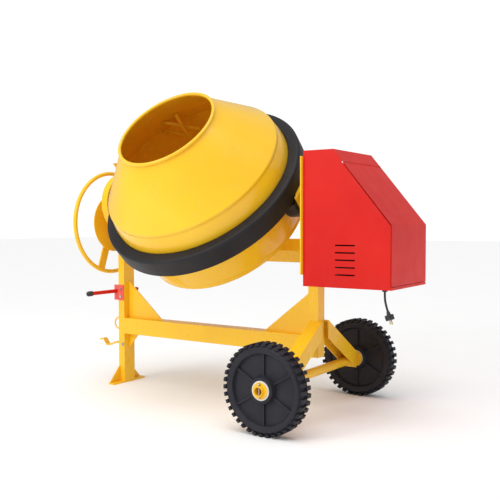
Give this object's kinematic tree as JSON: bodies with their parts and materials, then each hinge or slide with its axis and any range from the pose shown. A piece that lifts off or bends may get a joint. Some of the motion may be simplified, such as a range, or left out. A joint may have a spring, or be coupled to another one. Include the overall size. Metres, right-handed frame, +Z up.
{
  "type": "concrete mixer",
  "caption": "Towable tilting-drum concrete mixer: drum with ring gear and guard in a yoke, tilt handwheel, belt-drive motor house, solid wheels.",
  "frame": {"origin": "on the ground, under the middle of the whole machine", "axes": "+X from the handwheel end to the motor-house end, +Z up, the drum pours towards -Y"},
  "size_m": [1.809, 1.0007, 1.5054],
  "materials": {
    "yellow_paint": "gloss",
    "red_paint": "gloss",
    "grey_plastic": "satin",
    "tyre": "matt",
    "white_plastic": "satin",
    "black_plastic": "satin",
    "zinc": "plated",
    "steel": "machined",
    "cast_iron": "as cast",
    "belt_rubber": "matt",
    "motor_grey": "satin",
    "brass": "bright"
  },
  "bodies": {
    "frame": {"front_post": "yellow_paint", "foot_plate": "yellow_paint", "main_beam": "yellow_paint", "frame_gussets": "yellow_paint", "rear_post": "yellow_paint", "axle_struts": "yellow_paint", "axle_tube": "yellow_paint", "axle_collars": "yellow_paint", "split_pins": "zinc", "gear_case": "yellow_paint", "gear_case_lid": "yellow_paint", "frame_bolts": "zinc", "latch_bracket": "red_paint", "pedal_pin": "steel", "rear_bearing_block": "cast_iron", "motor_plate": "yellow_paint", "motor_shelf": "yellow_paint", "motor_casing": "motor_grey", "v_belt": "belt_rubber", "house_cover": "red_paint", "door_hinge": "zinc", "cable_gland": "black_plastic", "mains_lead": "black_plastic", "mains_plug": "black_plastic", "plug_pins": "brass"},
    "yoke": {"yoke_beam": "yellow_paint", "yoke_arm_front": "yellow_paint", "yoke_arm_rear": "yellow_paint", "spindle_bearing": "cast_iron", "gear_guard": "grey_plastic", "pinion_cover": "grey_plastic", "rear_trunnion": "steel", "front_trunnion": "steel", "tilt_gear": "cast_iron"},
    "drum": {"drum_bowl": "yellow_paint", "drum_cone": "yellow_paint", "gear_hoop": "yellow_paint", "ring_gear": "cast_iron", "drum_spindle": "steel", "drum_bolts": "zinc", "mixing_blades": "yellow_paint"},
    "handwheel": {"handwheel_rim": "yellow_paint", "handwheel_spoke": "yellow_paint", "lock_disc": "yellow_paint", "handwheel_shaft": "steel", "tilt_pinion": "cast_iron"},
    "drive_shaft": {"drive_pinion": "cast_iron", "pinion_shaft": "steel", "large_pulley": "cast_iron"},
    "motor_rotor": {"motor_rotor": "steel", "small_pulley": "cast_iron"},
    "wheel_front": {"wheel_front": "tyre", "wheel_front_bushes": "white_plastic"},
    "wheel_rear": {"wheel_rear": "tyre", "wheel_rear_bushes": "white_plastic"},
    "door": {"house_door": "red_paint"},
    "pedal": {"lock_pedal": "yellow_paint"},
    "plunger": {"lock_plunger": "steel"},
    "latch": {"latch_rod": "red_paint", "latch_knob": "black_plastic"}
  },
  "joints": [
    {"name": "tilt", "type": "hinge", "parent": "frame", "child": "yoke", "pos_m": [-0.1275, 0.03165, 0.969], "axis": [1, 0, 0], "range_deg": [-47, 78]},
    {"name": "handwheel_turn", "type": "hinge", "parent": "frame", "child": "handwheel", "pos_m": [-0.8165, 0.03165, 0.865], "axis": [1, 0, 0], "range_deg": [-215, 130]},
    {"name": "drum_spin", "type": "hinge", "parent": "yoke", "child": "drum", "pos_m": [-0.1275, 0.03165, 0.969], "axis": [0, -0.7314, 0.682], "continuous": true},
    {"name": "drive_shaft_spin", "type": "hinge", "parent": "yoke", "child": "drive_shaft", "pos_m": [0.4725, 0.03165, 0.969], "axis": [1, 0, 0], "continuous": true},
    {"name": "motor_spin", "type": "hinge", "parent": "frame", "child": "motor_rotor", "pos_m": [0.5225, 0.05965, 0.712], "axis": [1, 0, 0], "continuous": true},
    {"name": "front_wheel_spin", "type": "hinge", "parent": "frame", "child": "wheel_front", "pos_m": [0.4795, -0.41735, 0.191], "axis": [0, 1, 0], "continuous": true},
    {"name": "rear_wheel_spin", "type": "hinge", "parent": "frame", "child": "wheel_rear", "pos_m": [0.4795, 0.44465, 0.191], "axis": [0, 1, 0], "continuous": true},
    {"name": "door_hinge", "type": "hinge", "parent": "frame", "child": "door", "pos_m": [0.68455, 0.03165, 1.11977], "axis": [0, -1, 0], "range_deg": [0, 100]},
    {"name": "pedal_press", "type": "hinge", "parent": "frame", "child": "pedal", "pos_m": [-0.7045, 0.03165, 0.208], "axis": [0, -1, 0], "range_deg": [0, 25], "stiffness_Nm_per_rad": 3, "springref_deg": -28.65},
    {"name": "plunger_slide", "type": "slide", "parent": "frame", "child": "plunger", "axis": [0, 0, -1], "range_m": [0, 0.00655]},
    {"name": "latch_pull", "type": "slide", "parent": "frame", "child": "latch", "axis": [0, -1, 0], "range_m": [0, 0.06]}
  ],
  "couplings": [
    {"joint": "handwheel_turn", "follows": "tilt", "ratio": -2.7143},
    {"joint": "drive_shaft_spin", "follows": "drum_spin", "ratio": -8},
    {"joint": "motor_spin", "follows": "drum_spin", "ratio": -35.636},
    {"joint": "plunger_slide", "follows": "pedal_press", "m_per_rad": 0.015}
  ]
}
